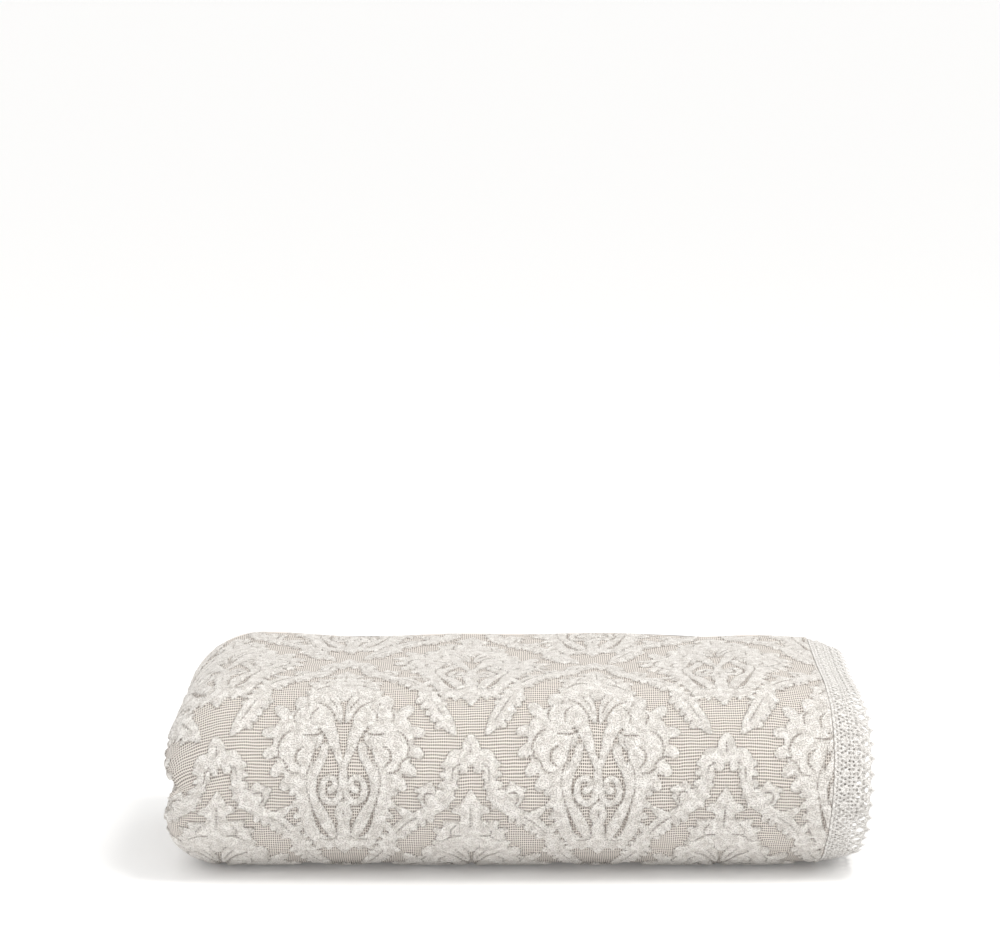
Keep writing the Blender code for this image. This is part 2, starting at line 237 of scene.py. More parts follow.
SUNK_LINES = (
    ("spade", ((0, -122, 0.4), (0, -112, 0.7), (0, -96, 0.5))),
    ("wing", ((10, -85, 0.7), (20, -84, 0.9), (31, -76, 0.6))),
    ("wing fold", ((16, -100, 0.4), (21, -93, 0.7), (22, -86, 0.4))),
    ("split leaf", ((5, -38, 0.5), (10, -50, 0.8), (17, -61, 0.5))),
    ("split leaf edge", ((9, -32, 0.8), (13, -40, 1), (20, -49, 1), (31, -55, 0.6))),
    ("upper leaf fold", ((28, -46, 0.5), (35, -37, 0.9), (35, -26, 0.7))),
    ("upper leaf curl", ((48, -46, 0.5), (54, -36, 0.9), (52, -26, 0.7))),
    ("under upper leaf", ((22, -16, 0.7), (31, -11, 1.1), (43, -12, 0.8))),
    ("side fold", ((57, -17, 0.7), (66, -10, 1.1), (71, 2, 1), (69, 10, 0.7))),
    ("side fold below", ((74, 12, 0.8), (66, 15, 1), (60, 22, 0.8))),
    ("inner leaf fold", ((43, 1, 0.7), (50, 7, 1.1), (51, 16, 1.1), (45, 23, 0.8))),
    ("low fold", ((62, 24, 0.8), (55, 29, 1), (47, 30, 0.8))),
    ("cleft", ((28, -7, 0.4), (31, 5, 0.7), (34, 17, 0.7), (39, 29, 0.7), (40, 42, 0.7),
        (37.5, 54, 0.8), (34, 67, 1), (30.5, 80, 1.3), (26, 93, 1), (21, 101, 0.4))),
    ("ring edge", ((15, 29, 0.4), (24, 35, 0.7), (28, 47, 0.8), (25, 60, 0.7), (16, 67, 0.6),
        (9, 66, 0.4))),
    ("drop side", ((8, 82, 0.6), (7, 87, 0.9), (9, 93, 0.9), (7, 101, 0.6))),
    ("drop", ((0, 71, 0.4), (0, 78, 0.6))),
    ("foot", ((7, 106, 0.6), (16, 110, 0.8), (26, 108, 0.6))),
    ("fan curl", ((40, -136, 0.6), (47, -138, 1), (51, -131, 1), (47, -124, 0.7))),
    ("arm throat", ((12, -168, 0.7), (19, -163, 0.8), (20, -150, 0.5))),
    ("bud", ((0, -190, 0.4), (0, -180, 0.7))),
    ("arm vein", ((57, -110, 0.5), (70, -101, 0.8), (82, -87, 0.5))),
    ("band end", ((95, -60, 0.4), (104, -42, 0.7), (112, -28, 0.4))),
)

# Soft creases: from and to, as metres from the hem across and from the top front line along the
# cloth, with their half width and how deep they are
CREASE_TIP = 0.35
CREASE_FADE = 0.7
CREASE_COLUMNS = ("start", "end", "half_width", "depth")
CREASES = (
    ((0.700, 0.020), (0.610, -0.015), 0.010, 0.0030),
    ((0.712, 0.045), (0.640, 0.020), 0.009, 0.0026),
    ((0.650, -0.030), (0.560, -0.004), 0.012, 0.0022),
    ((0.700, 0.100), (0.655, 0.075), 0.008, 0.0014),
    ((0.010, 0.012), (0.110, 0.026), 0.014, 0.0020),
    ((0.120, -0.120), (0.330, -0.060), 0.016, 0.0018),
    ((0.420, -0.150), (0.600, -0.110), 0.014, 0.0016),
    ((0.080, 0.285), (0.300, 0.275), 0.007, 0.0012),
    ((0.380, 0.282), (0.560, 0.290), 0.007, 0.0012),
)

# Lace repeat, in millimetres along and across: its holes, as middle, half sizes and corners
HOLE_COLUMNS = ("along", "across", "half_along", "half_across", "corners")
HOLES = (
    (9.0, 33.6, 3.9, 4.2, 8),
    (0.0, 27.0, 2.5, 2.5, 8),
    (9.0, 25.0, 1.7, 1.5, 6),
    (2.6, 3.6, 1.1, 0.9, 5),
    (6.9, 3.6, 1.1, 0.9, 5),
    (11.1, 3.6, 1.1, 0.9, 5),
    (15.4, 3.6, 1.1, 0.9, 5),
    (0.0, 7.6, 1.7, 1.3, 6),
    (4.6, 8.0, 1.4, 1.4, 5),
    (9.0, 6.9, 1.6, 1.0, 5),
    (13.4, 8.0, 1.4, 1.4, 5),
    (2.7, 12.0, 1.3, 1.7, 5),
    (15.3, 12.0, 1.3, 1.7, 5),
    (0.0, 16.4, 1.7, 1.3, 6),
    (4.6, 16.2, 1.4, 1.4, 5),
    (13.4, 16.2, 1.4, 1.4, 5),
    (9.0, 17.4, 1.6, 1.1, 5),
    (4.4, 20.6, 1.6, 1.2, 5),
    (13.6, 20.6, 1.6, 1.2, 5),
    (9.0, 21.2, 1.2, 1.0, 5),
    (0.0, 21.4, 1.3, 1.2, 6),
    (4.9, 26.4, 1.1, 1.6, 5),
    (13.1, 26.4, 1.1, 1.6, 5),
    (2.4, 32.6, 1.2, 1.7, 5),
    (15.6, 32.6, 1.2, 1.7, 5),
    (4.4, 37.6, 1.0, 0.9, 5),
    (13.6, 37.6, 1.0, 0.9, 5),
)
LACE_CORD = 0.0007
LACE_RIM = 0.00045
LACE_RUFFLE = 0.0012
RUFFLE_SIZE = 21.0
RUFFLE_LENGTHENED = 0.3
RUFFLE_SHIFT = 500.0
RUFFLE_SEED = 11
EDGE_BODY = 0.2
EDGE_DIP = 5.0
# Points of the repeat's mesh, in millimetres: their spacing, and how far they keep from its edges
# and holes
LACE_POINTS = 2.1
EDGE_STEPS = 12
SEWN_STEPS = 10
NET_SQUEEZE = 0.97
EDGE_MARGIN = 0.8
HOLE_MARGIN = 0.62
END_MARGIN = 0.6
CUT_MARGIN = 0.4
ROUNDING = 1.3
SLACK = 1e-6
MERGE_DISTANCE = 0.00002

# Stitches along the hem
STITCH_RADIUS = 0.0004
STITCH_LENGTH = 0.0036
STITCH_PITCH = 0.0048
STITCH_INSET = -0.0030
STITCH_OVER = 0.0001
STITCH_SIDES = 5
STITCH_RINGS = 5
STITCH_TIP = 0.55
STITCH_LIFT = 1.2
STITCH_DIP = 0.8

# Weave, in millimetres
RIB_PITCH = 3.45
THREAD_PITCH = 2.35
LOOPS_PER_MM = 0.62
LATTICE_PITCH = 9.0
RIB_WANDER = 3.0
THREAD_WANDER = 2.0
EDGE_WANDER = 4.2
LINE_WANDER = 3.0

# Colours
MOTIF_HIGH = (0.965, 0.935, 0.895, 1.0)
MOTIF_LOW = (0.85, 0.81, 0.765, 1.0)
# painted shade: the dark colour painted into the pits between the damask's loops
MOTIF_PIT_SHADE = (0.36, 0.325, 0.29, 1.0)
# painted shade: the near-black colour painted along the sunk lines and as a shadow round the
# damask's edges
MOTIF_GROOVE_SHADE = (0.19, 0.165, 0.145, 1.0)
GROUND_RIB = (0.72, 0.67, 0.62, 1.0)
GROUND_THREAD = (0.70, 0.65, 0.60, 1.0)
# painted shade: the dark colour painted into the open gaps between ribs and threads
GROUND_GAP_SHADE = (0.11, 0.092, 0.08, 1.0)
WRONG_SIDE = (0.66, 0.61, 0.565, 1.0)
LACE_LIGHT = (0.95, 0.935, 0.91, 1.0)
# painted shade: the dark colour painted between the lace's knots, in random patches and in its
# painted diamond holes
LACE_SHADE = (0.37, 0.345, 0.32, 1.0)
THREAD_SHADE = (0.70, 0.67, 0.63, 1.0)
FLOOR_COLOUR = (0.90, 0.90, 0.90, 1.0)
FLOOR_SHADE = (0.88, 0.88, 0.88, 1.0)

# Room, lights and camera
FLOOR_SIZE = 160.0
FLOOR_GLOW = 0.08
SKY_COLOUR = (1.0, 0.995, 0.985)
SKY_STRENGTH = 1.0
LIGHT_COLUMNS = ("name", "place", "size", "watts", "colour")
LIGHTS = (
    ("key", (1.3, -0.9, 3.0), 1.2, 48.0, (1.0, 0.985, 0.96)),
    ("fill", (-2.4, -2.4, 1.8), 2.2, 8.0, (0.98, 0.99, 1.0)),
)
LIGHT_AIM = (0.0, 0.0, 0.1)
LENS = 130.36
SENSOR = 36.0
VIEW_REACH = 200.0
CAMERA_PLACE = (-0.0205, -3.9717, 1.0560)
CAMERA_DOWN = 9.0
# Where the part's origin lies in the places above
PILE_CENTRE = (0.00046974, 0.06195956, 0.0)


def row(columns, values):
    """One row of a table, with its values under their names."""
    return dict(zip(columns, values))


RUN_TABLE = [row(RUN_COLUMNS, values) for values in RUNS]
WAVE_TABLE = [row(WAVE_COLUMNS, values) for values in TOP_WAVES]
END_TABLE = {name: np.array([values[i] for values in ENDS]) for i, name in enumerate(END_COLUMNS)}


def fade(share):
    """A smooth step from 0 to 1."""
    share = np.clip(share, 0, 1)
    return share * share * (3 - 2 * share)


def end_round(share):
    """0 inside the pile, rising towards its end as the side of an ellipse."""
    share = np.clip(share, 0, END_ROUND_LIMIT)
    return 1 - np.sqrt(1 - share * share)


def at_height(name, share):
    """A column of the table of the ends, read smoothly at shares of the pile's height."""
    heights = END_TABLE["height"]
    share = np.clip(share, 0, 1)
    i = np.clip(np.searchsorted(heights, share) - 1, 0, len(heights) - 2)
    low, high = END_TABLE[name][i], END_TABLE[name][i + 1]
    return low + (high - low) * fade((share - heights[i]) / (heights[i + 1] - heights[i]))


def level_height(level):
    """Height of a run's middle."""
    return HALF_PACKET + level * RUN_PITCH


def turn_radius(run, following):
    """Radius of the turn that joins two runs, at the packet's middle."""
    return abs(run["level"] - following["level"]) * RUN_PITCH / 2


def run_length():
    """Straight length of each run between the shared front and back lines."""
    turns = sum(math.pi * turn_radius(a, b) for a, b in zip(RUN_TABLE, RUN_TABLE[1:]))
    ends = sum(run["back_end"] for run in RUN_TABLE)
    return (PANEL_LENGTH - turns - ends) / len(RUN_TABLE)


def path_segments():
    """Straight runs and turns from the hem on top to the hem under it, front line at y = 0."""
    back_line = run_length()
    segments = []
    for i, run in enumerate(RUN_TABLE):
        to_front = i % 2 == 0
        height = level_height(run["level"])
        back = back_line + run["back_end"]
        start, end = (back, 0.0) if to_front else (0.0, back)
        segments.append({
            "kind": "run", "start": start, "end": end, "height": height,
            "before": run, "after": run,
        })
        if i + 1 < len(RUN_TABLE):
            following = RUN_TABLE[i + 1]
            segments.append({
                "kind": "turn", "centre": end, "outward": -1 if to_front else 1,
                "height": (height + level_height(following["level"])) / 2,
                "radius": turn_radius(run, following),
                "climb": 1 if following["level"] > run["level"] else -1,
                "before": run, "after": following,
            })
    return segments


SEGMENTS = path_segments()


def frame_at(segment, share):
    """Where the packet's middle is at a share of a segment, its normal, and its edges' shifts."""
    if segment["kind"] == "run":
        y = segment["start"] + (segment["end"] - segment["start"]) * share
        z = segment["height"]
        travel = (math.copysign(1, segment["end"] - segment["start"]), 0.0)
    else:
        angle = math.pi * share
        y = segment["centre"] + segment["outward"] * segment["radius"] * math.sin(angle)
        z = segment["height"] - segment["climb"] * segment["radius"] * math.cos(angle)
        travel = (segment["outward"] * math.cos(angle), segment["climb"] * math.sin(angle))
    out = {"y": y, "z": z, "normal_y": travel[1], "normal_z": -travel[0]}
    for name in ("left_out", "right_out"):
        out[name] = segment["before"][name] * (1 - share) + segment["after"][name] * share
    return out


def outside_of(segment):
    """1 where the packet's upper side is outside a turn, -1 where it is inside."""
    if segment["kind"] == "run":
        return 1
    return frame_at(segment, 0.5)["normal_y"] * segment["outward"]


def length_at(segment, offset):
    """Length of a segment for a sheet that lies at an offset along the packet's normal."""
    if segment["kind"] == "run":
        return abs(segment["end"] - segment["start"])
    return math.pi * (segment["radius"] + outside_of(segment) * offset)


def settle(x, y, z):
    """Moves points of the flat-sided pile to where they lie once the pile has settled."""
    share = z / TOP
    from_left = x - LEFT_EDGE
    left_end = fade(1 - from_left / LEFT_DRAW_REACH)
    sink = LEFT_SINK * end_round(1 - from_left / LEFT_ROUND)
    right_end = fade((x - HEM + RIGHT_ROUND) / RIGHT_ROUND)
    sink = sink + RIGHT_SINK * right_end
    length = run_length()
    middle = fade(1 - np.abs(x) / TOP_SAG_REACH) * fade(1 - np.abs(y - length / 2) / length)
    sink = sink + TOP_SAG * middle
    lift = LEFT_LIFT * end_round(1 - from_left / LEFT_LIFT_ROUND)
    wave = sum(
        wave["weight"] * np.sin(wave["along_x"] * x + wave["along_y"] * y + wave["phase"])
        for wave in WAVE_TABLE
    )
    top = TOP - sink + WAVE * wave
    new_z = lift + share * (top - lift)

    front = fade((FRONT_START - y) / FRONT_REACH)
    bulge = BELLY * np.sin(math.pi * np.minimum(BELLY_LOWERED * share, 1.0))
    front_wave = np.sin(FRONT_WAVE["along_x"] * x + FRONT_WAVE["up_the_front"] * share)
    bulge = bulge + WAVE * front_wave * np.sin(math.pi * share)
    recess = LEFT_RECESS * end_round(1 - from_left / LEFT_RECESS_ROUND)
    recess = recess + RIGHT_RECESS * right_end
    new_y = y + front * (recess - bulge)

    new_x = x + at_height("drawn_in", share) * left_end
    hem_out = at_height("hem_out", share) * fade((x - HEM + HEM_OUT_REACH) / HEM_OUT_REACH)
    beyond = np.maximum(x - HEM, 0.0)
    droop = np.radians(at_height("lace_droop_degrees", share))
    bent = np.minimum(beyond, LACE_BEND)
    along = beyond - 0.5 * bent * bent / LACE_BEND
    new_x = new_x + hem_out - along * (1 - np.cos(droop))
    new_z = new_z - along * np.sin(droop)
    return np.stack((new_x, new_y, new_z), axis=-1)


def placed(frames, x, w):
    """Settled points at places along X and along the packet's normal."""
    return settle(x, frames["y"] + w * frames["normal_y"], frames["z"] + w * frames["normal_z"])


def frame_columns(frames):
    """A list of frames as arrays, one for each value."""
    return {name: np.array([at[name] for at in frames]) for name in frames[0]}


def spline(points, step=1.1):
    """A smooth line through points, at even steps, as rows of across, down and half width."""
    given = np.array(points, float)
    given = np.vstack([2 * given[0] - given[1], given, 2 * given[-1] - given[-2]])
    out = []
    for i in range(1, len(given) - 2):
        count = max(int(np.linalg.norm(given[i + 1, :2] - given[i, :2]) / step), 1)
        s = np.arange(count)[:, None] / count
        a, b, c, d = given[i - 1], given[i], given[i + 1], given[i + 2]
        out.append(0.5 * (
            2 * b + (c - a) * s + (2 * a - 5 * b + 4 * c - d) * s**2
            + (3 * b - a - 3 * c + d) * s**3
        ))
    out.append(given[-2:-1])
    return np.vstack(out)


def frond(leaf):
    """A leaf's stem line with rounded lobes along its sides."""
    stem = spline(leaf["points"])
    ahead = np.gradient(stem[:, :2], axis=0)
    pace = np.linalg.norm(ahead, axis=1, keepdims=True)
    ahead = ahead / np.maximum(pace, 1e-9)
    travelled = np.cumsum(pace)
    parts = [stem]
    for at in np.arange(LOBES_FROM * travelled[-1], LOBES_TO * travelled[-1], leaf["every"]):
        i = min(int(np.searchsorted(travelled, at)), len(stem) - 1)
        for side in leaf["sides"]:
            outward = np.array([-ahead[i, 1], ahead[i, 0]]) * side
            way = outward + leaf["lean"] * ahead[i]
            way /= np.linalg.norm(way)
            root = stem[i, :2] + outward * stem[i, 2] * LOBE_ROOT
            tip = root + way * leaf["lobe"]
            belly = root * LOBE_BELLY + tip * (1 - LOBE_BELLY)
            sizes = np.multiply((stem[i, 2], leaf["lobe"], leaf["lobe"]), LOBE_HALF_WIDTHS)
            parts.append(spline([(*at, size) for at, size in zip((root, belly, tip), sizes)]))
    return np.vstack(parts)


def tile_field(discs):
    """Distance to the nearest disc over half a repeat, less than 0 inside one, in millimetres."""
    columns = int(round(REPEAT_ACROSS / 2 / TILE_STEP)) + 1
    rows = int(round(REPEAT_DOWN / TILE_STEP))
    field = np.full((rows, columns), TILE_FAR)
    for across, down, radius in discs:
        around = radius + TILE_REACH
        for side in ((1, -1) if across < around else (1,)):
            first = max(int((side * across - around) / TILE_STEP), 0)
            last = min(int((side * across + around) / TILE_STEP) + 1, columns - 1)
            top = int((down - around) / TILE_STEP)
            bottom = int((down + around) / TILE_STEP) + 1
            i = np.arange(top, bottom + 1)
            j = np.arange(first, last + 1)
            gap = np.hypot((i * TILE_STEP - down)[:, None], j * TILE_STEP - side * across) - radius
            window = np.ix_(i % rows, j)
            field[window] = np.minimum(field[window], gap)
    shifted = np.roll(field, rows // 2, axis=0)[:, ::-1]
    return np.minimum(field, shifted)


def between(table, rows, columns, down, across):
    """Values of a table between two of its rows and two of its columns."""
    upper = table[rows[0], columns[0]] * (1 - across) + table[rows[0], columns[1]] * across
    lower = table[rows[1], columns[0]] * (1 - across) + table[rows[1], columns[1]] * across
    return upper * (1 - down) + lower * down


def read_tile(field, across, down):
    """A tile's values at places on the cloth, in millimetres."""
    rows, columns = field.shape
    j = np.abs((across + REPEAT_ACROSS / 2) % REPEAT_ACROSS - REPEAT_ACROSS / 2) / TILE_STEP
    i = (down / TILE_STEP) % rows
    j0 = np.minimum(j.astype(int), columns - 2)
    i0 = i.astype(int) % rows
    return between(field, (i0, (i0 + 1) % rows), (j0, j0 + 1), i - np.floor(i), j - j0)


def noise(across, down, cell, seed):
    """Smooth unevenness from -1 to 1, with a size of one cell."""
    table = np.random.default_rng(seed).uniform(-1, 1, (NOISE_CELLS, NOISE_CELLS))
    x, y = across / cell, down / cell
    i, j = np.floor(x).astype(int), np.floor(y).astype(int)
    rows, columns = [(k % NOISE_CELLS, (k + 1) % NOISE_CELLS) for k in (i, j)]
    return between(table, rows, columns, fade(x - i), fade(y - j))


def damask_fields():
    """The tiles of the raised damask and of the lines sunk into it."""
    raised = [spline(row(STROKE_COLUMNS, values)["points"]) for values in STROKES]
    raised += [frond(row(FROND_COLUMNS, values)) for values in FRONDS]
    sunk = [spline(row(STROKE_COLUMNS, values)["points"]) for values in SUNK_LINES]
    return tile_field(np.vstack(raised)), tile_field(np.vstack(sunk))


def face_places(start, end, left_fold, right_fold, spacing):
    """Places along X over one face of a sheet, evenly spaced or only where the pile bends."""
    if spacing:
        count = int((HEM - LEFT_FOLD) / spacing)
        return list(np.linspace(start, end, count + 1))
    low, high = min(start, end), max(start, end)
    bends = [left_fold + step for step in LEFT_STEPS] + [0.5 * (left_fold + right_fold)]
    bends += [high - step for step in RIGHT_STEPS]
    bends = sorted((x for x in bends if low < x < high), reverse=end < start)
    return [start] + bends + [end]


def arc(centre_x, centre_w, radius, start_degrees, end_degrees, steps):
    """Inner points of an arc in the plane of X and the normal."""
    angles = np.radians(np.linspace(start_degrees, end_degrees, steps + 1)[1:-1])
    return [(centre_x + radius * math.cos(a), centre_w + radius * math.sin(a)) for a in angles]


OUTLINE_COLUMNS = ("upper_spacing", "lower_spacing", "arc_steps")
OUTLINES = {
    "fine": row(OUTLINE_COLUMNS, (FINE, None, 16)),
    "upper": row(OUTLINE_COLUMNS, (MIDDLE, None, 8)),
    "lower": row(OUTLINE_COLUMNS, (None, MIDDLE, 8)),
    "plain": row(OUTLINE_COLUMNS, (None, None, 8)),
}


def packet_outline(kind, left_out=0.0, right_out=0.0):
    """The three sheets' closed outline, from the outer hem's edge round to it, and where the right
    side of the cloth ends in it."""
    drawn = OUTLINES[kind]
    left_fold = LEFT_FOLD - left_out
    right_fold = RIGHT_FOLD + right_out
    hem = HEM + right_out
    inner_hem = INNER_HEM - left_out
    q, h = SHEET_PITCH, HALF_SHEET

    def face(w, start, end, spacing=None):
        """Points along a flat part of the cloth."""
        return [(x, w) for x in face_places(start, end, left_fold, right_fold, spacing)]

    def side(w, upper_spacing, lower_spacing, left_steps):
        """One side of the cloth, from its outer hem round to its inner one."""
        points = face(q + w, hem - h, left_fold, upper_spacing)
        points += arc(left_fold, 0, q + w, 90, 270, left_steps)
        points += face(-q - w, left_fold, right_fold, lower_spacing)
        points += arc(right_fold, -q / 2, q / 2 + w, -90, 90, RIGHT_ARC_STEPS)
        return points + face(w, right_fold, inner_hem + h)

    outline = [(hem, q)] + arc(hem - h, q, h, 0, 90, HEM_STEPS)
    outline += side(h, drawn["upper_spacing"], drawn["lower_spacing"], drawn["arc_steps"])
    outline += arc(inner_hem + h, 0, h, 90, 180, HEM_STEPS)
    right_side = len(outline)
    outline += [(inner_hem, 0)] + arc(inner_hem + h, 0, h, 180, 270, HEM_STEPS)
    outline += side(-h, None, None, LEFT_INNER_STEPS)[::-1]
    outline += arc(hem - h, q, h, -90, 0, HEM_STEPS)
    return np.array(outline), right_side


def outline_columns(kind):
    """For each point of an outline: how far it lies from the outer hem across the flat cloth,
    whether it is on the right side, and how far round the loop it is."""
    outline, right_side = packet_outline(kind)
    steps = np.linalg.norm(np.diff(outline, axis=0, append=outline[:1]), axis=1)
    travelled = np.concatenate(([0.0], np.cumsum(steps)))
    width = travelled[right_side]
    back = width * (1 - (travelled[:-1] - width) / (travelled[-1] - width))
    right = np.arange(len(outline)) <= right_side
    across = np.where(right, travelled[:-1], back)
    return {"across": across, "right": right, "share": travelled[:-1] / steps.sum()}


# Rows along the segments of the path that are seen, and along the others: the outline, how far
# apart the rows are, and which side of the packet that is measured on
ROW_COLUMNS = ("kind", "spacing", "outside")
SEEN_ROWS = {
    0: ("fine", 0.0045, 1),
    1: ("fine", 0.0024, 1),
    3: ("upper", 0.0046, 1),
    7: ("upper", 0.0046, 1),
    11: ("lower", 0.0046, -1),
}
OTHER_ROWS = ("plain", 0.012, 1)
FEWEST_ROWS = {"run": 6, "turn": 8}


def panel_rows():
    """The panel's rows along the path: frame, kind of outline, and place along the flat cloth."""
    rows = []
    distance = -length_at(SEGMENTS[0], 0)
    for i, segment in enumerate(SEGMENTS):
        spec = row(ROW_COLUMNS, SEEN_ROWS.get(i, OTHER_ROWS))
        length = length_at(segment, spec["outside"] * HALF_PACKET)
        count = max(int(math.ceil(length / spec["spacing"])), FEWEST_ROWS[segment["kind"]])
        for k in range(count):
            share = k / count
            rows.append((frame_at(segment, share), spec["kind"], distance + share * length))
        distance += length
    rows.append((frame_at(SEGMENTS[-1], 1.0), spec["kind"], distance))
    return rows


def zip_loops(first, second, first_shares, second_shares):
    """Triangles between two closed loops of points that start at the same place."""
    triangles = []
    i = j = 0
    n, m = len(first_shares), len(second_shares)
    first_shares = [*first_shares, 1.0, math.inf]
    second_shares = [*second_shares, 1.0, math.inf]
    while i < n or j < m:
        a, b = first + i % n, second + j % m
        if first_shares[i + 1] <= second_shares[j + 1]:
            triangles.append((a, b, first + (i + 1) % n))
            i += 1
        else:
            triangles.append((a, b, second + (j + 1) % m))
            j += 1
    return triangles


def cap(first, outline):
    """Triangles over the cut end of the sheets, each across the sheet by its shorter diagonal."""
    triangles = []
    a, b = 0, len(outline) - 1
    while b - a > 1:
        forward = np.linalg.norm(outline[a + 1] - outline[b])
        backward = np.linalg.norm(outline[a] - outline[b - 1])
        if forward <= backward:
            triangles.append((first + a, first + a + 1, first + b))
            a += 1
        else:
            triangles.append((first + a, first + b, first + b - 1))
            b -= 1
    return triangles


def crease_depth(across, along):
    """How deep the soft creases lie at places on the cloth."""
    depth = np.zeros_like(across)
    for values in CREASES:
        crease = row(CREASE_COLUMNS, values)
        start, way = np.array(crease["start"]), np.subtract(crease["end"], crease["start"])
        share = ((across - start[0]) * way[0] + (along - start[1]) * way[1]) / (way @ way)
        share = np.clip(share, 0, 1)
        gap = np.hypot(across - start[0] - share * way[0], along - start[1] - share * way[1])
        width = crease["half_width"] * (1 - (1 - CREASE_TIP) * share)
        depth += crease["depth"] * (1 - CREASE_FADE * share) * np.exp(-(gap / width)**2)
    return depth


def relief(across, along, right):
    """Height of the cloth's right side over the solid's face, and its damask fields."""
    raised_tile, sunk_tile = damask_fields()
    x, y = across / MM - COLUMN_FROM_HEM, along / MM - ROW_FROM_FOLD
    damask = read_tile(raised_tile, x, y)
    sunk = read_tile(sunk_tile, x, y)
    shifted = (x + NOISE_SHIFT, y + NOISE_SHIFT)
    ragged = damask + RAGGED * noise(*shifted, RAGGED_SIZE, RAGGED_SEED)
    body = fade((1.0 - ragged) / SHOULDER)
    height = -SUNK + (SUNK + RAISED) * body
    height -= GROOVE * body * np.exp(-(np.maximum(sunk + GROOVE_SIDE, 0) / GROOVE_WIDTH)**2)
    height += LOOPS * body * noise(*shifted, LOOP_SIZE, LOOP_SEED)
    height -= crease_depth(across, along)
    for from_hem in (across, across.max() - across):
        height *= fade((from_hem - HEM_PLAIN) / HEM_FADE)
    return height * right, damask, sunk


def panel_mesh():
    """The woven panel: its outline swept along the path, with its columns for the damask."""
    shapes = {kind: outline_columns(kind) for kind in OUTLINES}
    rows = panel_rows()
    places, across, along, right, faces = [], [], [], [], []
    starts = []
    total = 0
    for frame_here, kind, distance in rows:
        outline, _ = packet_outline(kind, frame_here["left_out"], frame_here["right_out"])
        places.append(placed(frame_here, outline[:, 0], outline[:, 1]))
        across.append(shapes[kind]["across"])
        right.append(shapes[kind]["right"])
        along.append(np.full(len(outline), distance))
        starts.append(total)
        total += len(outline)
    for k in range(len(rows) - 1):
        near, far = starts[k], starts[k + 1]
        if rows[k][1] == rows[k + 1][1]:
            count = far - near
            i = np.arange(count)
            j = (i + 1) % count
            faces += np.stack((near + i, near + j, far + j, far + i), 1).tolist()
        else:
            shares = [shapes[rows[at][1]]["share"] for at in (k, k + 1)]
            faces += zip_loops(near, far, *shares)
    for k, at in ((0, starts[0]), (-1, starts[-1])):
        faces += cap(at, packet_outline(rows[k][1])[0])
    right[0], right[-1] = np.zeros(len(right[0])), np.zeros(len(right[-1]))
    columns = {
        "across": np.concatenate(across),
        "along": np.concatenate(along),
        "right": np.concatenate(right).astype(float),
    }
    return np.vstack(places), faces, columns


def closed_mesh(name, places, faces, joined=False):
    """A smoothly shaded mesh whose faces point outwards. A joined one is a row of open shapes, made
    one where they meet and closed at its ends."""
    mesh = bpy.data.meshes.new(name)
    mesh.from_pydata(places.tolist(), [], [tuple(face) for face in faces])
    bm = bmesh.new()
    bm.from_mesh(mesh)
    if joined:
        bmesh.ops.remove_doubles(bm, verts=bm.verts, dist=MERGE_DISTANCE)
        bmesh.ops.holes_fill(bm, edges=[edge for edge in bm.edges if edge.is_boundary], sides=0)
        bmesh.ops.triangulate(bm, faces=bm.faces)
    bmesh.ops.recalc_face_normals(bm, faces=bm.faces)
    bm.to_mesh(mesh)
    bm.free()
    mesh.shade_smooth()
    return mesh


def vertex_array(mesh, what):
    """The places or the normals of a mesh's points."""
    values = np.empty(len(mesh.vertices) * 3)
    if what == "places":
        mesh.vertices.foreach_get("co", values)
    else:
        mesh.vertex_normals.foreach_get("vector", values)
    return values.reshape(-1, 3)


def set_places(mesh, places):
    """Moves a mesh's points."""
    mesh.vertices.foreach_set("co", np.ascontiguousarray(places, dtype=np.float32).ravel())
    mesh.update()


def point_values(mesh, name, values):
    """A number or a vector for each point of a mesh, for its finish."""
    kind = "FLOAT" if values.ndim == 1 else "FLOAT_VECTOR"
    made = mesh.attributes.new(name, kind, "POINT")
    field = "value" if kind == "FLOAT" else "vector"
    made.data.foreach_set(field, values.astype(np.float32).ravel())


def add_piece(name, mesh, finish):
    """An object in the scene with one finish."""
    mesh.materials.clear()
    mesh.materials.append(finish)
    made = bpy.data.objects.new(name, mesh)
    bpy.context.scene.collection.objects.link(made)
    return made


def make_panel(shift, finish):
    """The woven panel as a piece."""
    places, faces, columns = panel_mesh()
    across, along, right = columns["across"], columns["along"], columns["right"]
    mesh = closed_mesh("woven_bedspread", places - shift, faces)
    height, damask, sunk = relief(across, along, right)
    lifted = vertex_array(mesh, "places") + vertex_array(mesh, "normals") * height[:, None]
    lifted[:, 2] = np.maximum(lifted[:, 2], 0.0)
    set_places(mesh, lifted)
    mesh.set_sharp_from_angle(angle=math.radians(SHARP_CLOTH))
    place = np.stack((across, along, np.zeros_like(height)), 1) / MM
    carried = {"cloth_place": place, "damask": damask, "sunk_line": sunk, "right_side": right}
    for name, values in carried.items():
        point_values(mesh, name, values)
    return add_piece("woven_bedspread", mesh, finish)


def hole_corners(hole):
    """The corners of a hole, with one straight above and, where their number is even, one below."""
    angles = math.pi / 2 + 2 * math.pi * np.arange(hole["corners"]) / hole["corners"]
    along = hole["along"] + hole["half_along"] * np.cos(angles)
    across = hole["across"] + hole["half_across"] * np.sin(angles)
    return list(zip(along.tolist(), across.tolist()))


def rim_distance(point, rims):
    """Distance from a point to the nearest rim of a hole."""
    best = math.inf
    for rim in rims:
        for a, b in zip(rim, rim[1:] + rim[:1]):
            way = (b[0] - a[0], b[1] - a[1])
            off = (point[0] - a[0], point[1] - a[1])
            share = (off[0] * way[0] + off[1] * way[1]) / (way[0]**2 + way[1]**2)
            share = min(max(share, 0.0), 1.0)
            gap = math.hypot(off[0] - share * way[0], off[1] - share * way[1])
            best = min(best, gap)
    return best


